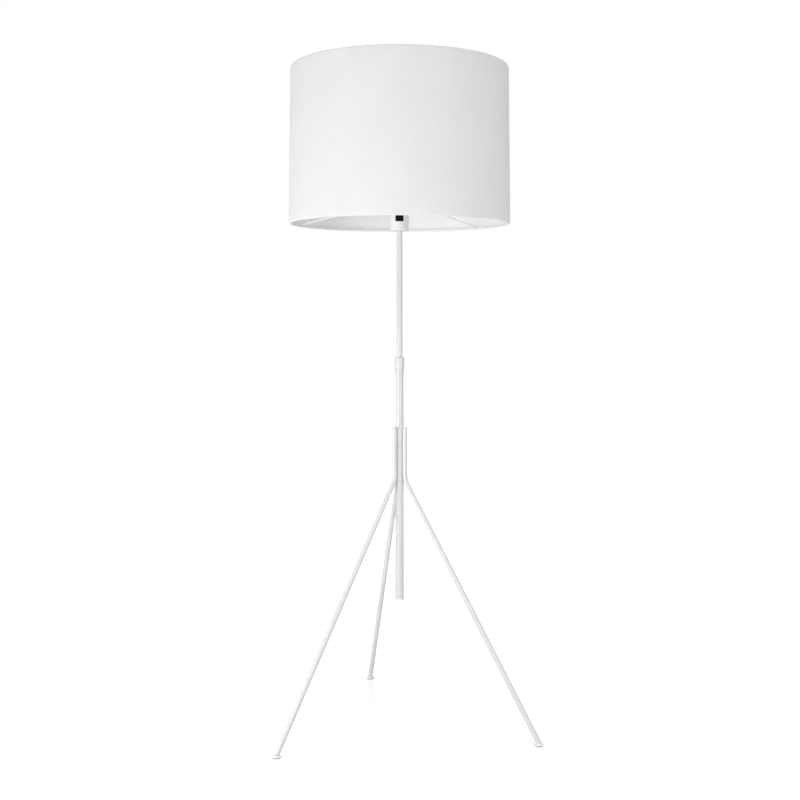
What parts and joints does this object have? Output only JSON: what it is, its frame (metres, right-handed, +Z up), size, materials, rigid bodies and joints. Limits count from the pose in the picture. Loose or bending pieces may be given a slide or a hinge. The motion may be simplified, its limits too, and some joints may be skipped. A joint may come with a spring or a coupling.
{
  "type": "tripod floor lamp",
  "caption": "Tripod floor lamp with a white fabric drum shade on a telescopic pole between bent tube legs, and a screw lampholder with a rocker switch under the shade.",
  "frame": {"origin": "on the floor, under the middle of the lamp's outline seen from above; the pole's axis stands at x = -0.0198, y = -0.0416", "axes": "+Z up along the pole, -Y towards the front, where the rocker switch is, +X to the right of someone facing the switch"},
  "size_m": [0.5343, 0.5332, 1.3525],
  "materials": {
    "white_powder_coat": "satin white powder coat",
    "white_plastic": "satin moulded",
    "black_plastic": "fine spark-eroded grain",
    "shade_fabric": "fine plain weave laminated on a translucent white sheet",
    "white_wire": "white painted wire and washer",
    "zinc_steel": "bright zinc plate",
    "brass": "drawn brass",
    "nickel": "nickel plated cap",
    "porcelain": "glazed",
    "opal_globe": "opal polycarbonate",
    "foot_rubber": "matt"
  },
  "bodies": {
    "base": {"lower_tube": "white_powder_coat", "clamp_collet": "white_plastic", "cord_exit_bush": "white_plastic", "leg_left": "white_powder_coat", "leg_cap_left": "white_plastic", "foot_glide_left": "white_plastic", "foot_pad_left": "foot_rubber", "leg_right": "white_powder_coat", "leg_cap_right": "white_plastic", "foot_glide_right": "white_plastic", "foot_pad_right": "foot_rubber", "leg_rear": "white_powder_coat", "leg_cap_rear": "white_plastic", "foot_glide_rear": "white_plastic", "foot_pad_rear": "foot_rubber"},
    "collar": {"clamp_collar": "white_powder_coat"},
    "slider": {"guide_bush": "white_plastic"},
    "head": {"upper_tube": "white_powder_coat", "entry_nipple": "zinc_steel", "lock_nut": "zinc_steel", "lampholder_base": "white_plastic", "lampholder_shell": "white_plastic", "shade_nut_lower": "white_plastic", "shade_nut_upper": "white_plastic", "spider_hub": "white_wire", "spider_arm_1": "white_wire", "spider_arm_2": "white_wire", "spider_arm_3": "white_wire", "shade_bottom_ring": "white_wire", "shade_top_ring": "white_wire", "shade_skin": "shade_fabric", "socket_core": "porcelain", "thread_sleeve": "brass", "centre_contact": "brass", "terminal_block": "porcelain", "terminal_screw_left": "zinc_steel", "terminal_screw_right": "zinc_steel", "switch_carrier": "black_plastic", "switch_pin": "zinc_steel"},
    "rocker": {"switch_rocker": "black_plastic"},
    "bulb_lift": {"bulb_contact": "brass"},
    "bulb": {"bulb_insulator": "black_plastic", "bulb_cap": "nickel", "bulb_body": "white_plastic", "bulb_globe": "opal_globe"}
  },
  "joints": [
    {"name": "height_slide", "type": "slide", "parent": "base", "child": "slider", "axis": [0, 0, 1], "range_m": [-0.24, 0.15]},
    {"name": "head_swivel", "type": "hinge", "parent": "slider", "child": "head", "pos_m": [-0.0198, -0.04161, 0.56], "axis": [0, 0, 1], "range_deg": [-170, 170]},
    {"name": "collar_twist", "type": "hinge", "parent": "base", "child": "collar", "pos_m": [-0.0198, -0.04161, 0.758], "axis": [0, 0, 1], "range_deg": [0, 120]},
    {"name": "rocker_tilt", "type": "hinge", "parent": "head", "child": "rocker", "pos_m": [-0.0198, -0.05311, 1.0532], "axis": [0, 0, 1], "range_deg": [0, 14]},
    {"name": "bulb_rise", "type": "slide", "parent": "head", "child": "bulb_lift", "axis": [0, 0, 1], "range_m": [0, 0.0146]},
    {"name": "bulb_turn", "type": "hinge", "parent": "bulb_lift", "child": "bulb", "pos_m": [-0.0198, -0.04161, 1.1], "axis": [0, 0, 1], "range_deg": [0, 1440]}
  ],
  "couplings": [
    {"joint": "bulb_rise", "follows": "bulb_turn", "m_per_rad": 0.00057757}
  ]
}
